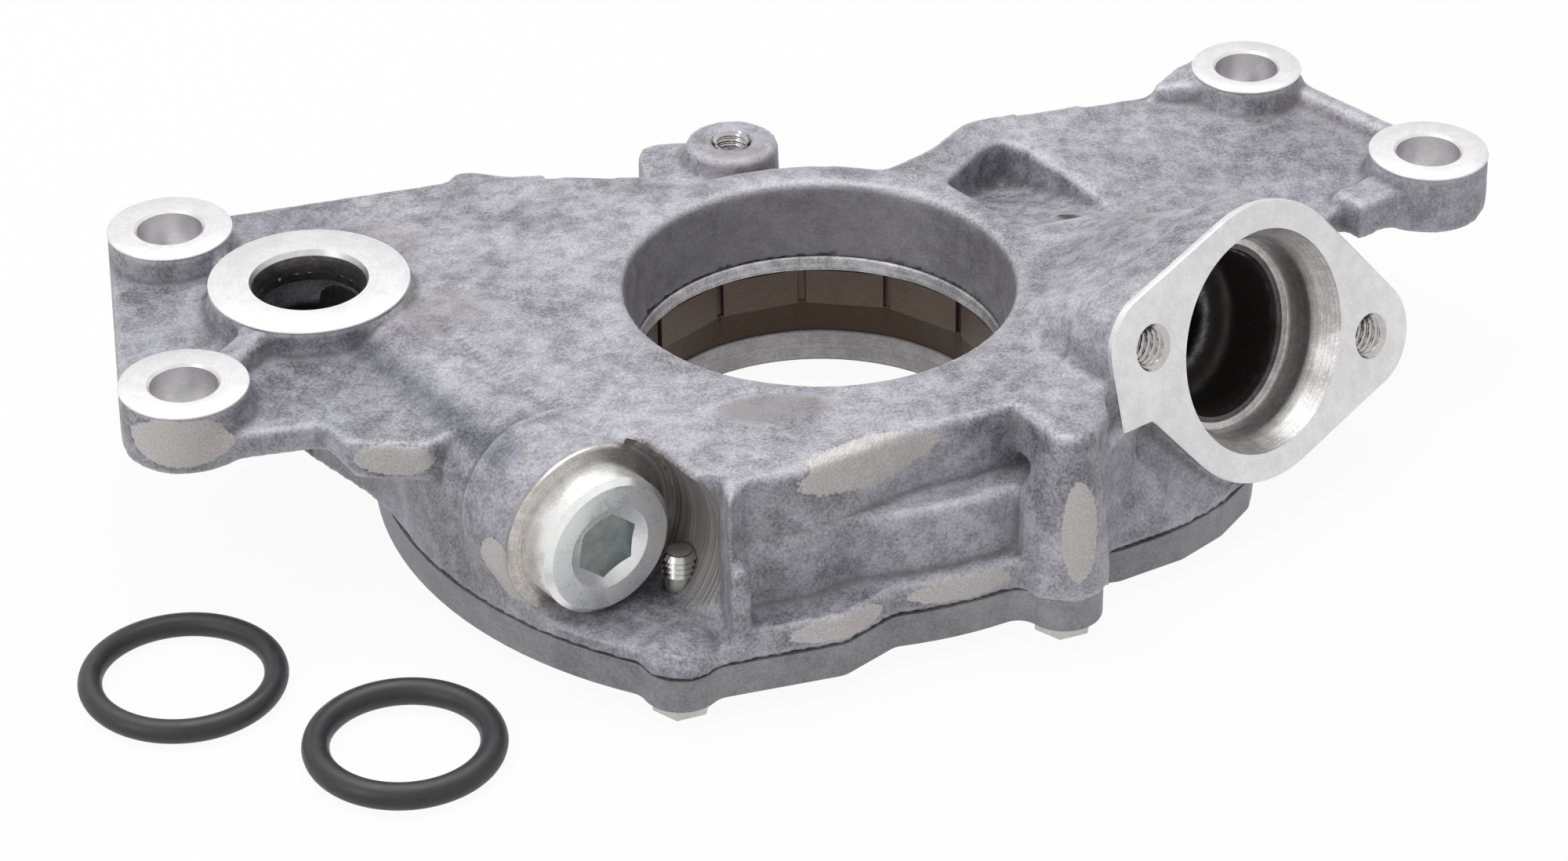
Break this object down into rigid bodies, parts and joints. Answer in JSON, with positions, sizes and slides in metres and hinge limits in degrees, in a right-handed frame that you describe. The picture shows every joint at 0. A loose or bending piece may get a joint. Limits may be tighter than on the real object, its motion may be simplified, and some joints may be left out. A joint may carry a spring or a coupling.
{
  "type": "engine oil pump",
  "caption": "Gerotor oil pump round a crank nose: cast housing with mounting bosses, cover, two rotors, relief valve, pick-up flange and loose seals.",
  "frame": {"origin": "on the crank axis, in the joint plane between housing and cover", "axes": "+Z along the crank axis towards the engine block; +Y from the left front mounting boss to the left rear one; +X to the right"},
  "size_m": [0.2008, 0.1306, 0.0444],
  "materials": {
    "cast_housing": "as cast",
    "cast_cover": "as cast",
    "sintered_rotor": "sintered and oiled",
    "zinc_plug": "zinc plated",
    "steel_piston": "ground",
    "spring_steel": "oiled",
    "zinc_bolt": "zinc plated",
    "rubber": "satin"
  },
  "bodies": {
    "body": {"housing": "cast_housing", "cover": "cast_cover", "relief_plug": "zinc_plug", "relief_spring": "spring_steel", "cover_bolt_1": "zinc_bolt", "cover_bolt_2": "zinc_bolt", "cover_bolt_3": "zinc_bolt", "cover_bolt_4": "zinc_bolt", "cover_bolt_5": "zinc_bolt", "cover_bolt_6": "zinc_bolt", "cover_bolt_7": "zinc_bolt", "cover_bolt_8": "zinc_bolt", "cover_bolt_9": "zinc_bolt", "pickup_seal_1": "rubber", "pickup_seal_2": "rubber"},
    "drive_rotor": {"inner_rotor": "sintered_rotor"},
    "driven_rotor": {"outer_rotor": "sintered_rotor"},
    "piston": {"relief_piston": "steel_piston"}
  },
  "joints": [
    {"name": "inner_rotor_spin", "type": "hinge", "parent": "body", "child": "drive_rotor", "pos_m": [0, 0, 0], "axis": [0, 0, 1], "continuous": true},
    {"name": "outer_rotor_spin", "type": "hinge", "parent": "body", "child": "driven_rotor", "pos_m": [0, 0.003, 0], "axis": [0, 0, 1], "continuous": true},
    {"name": "relief_slide", "type": "slide", "parent": "body", "child": "piston", "axis": [0.4617, -0.887, 0], "range_m": [0, 0.009], "stiffness_N_per_m": 4000, "springref_m": -0.01, "deforming": ["relief_spring"]}
  ],
  "couplings": [
    {"joint": "outer_rotor_spin", "follows": "inner_rotor_spin", "ratio": 0.90909}
  ]
}
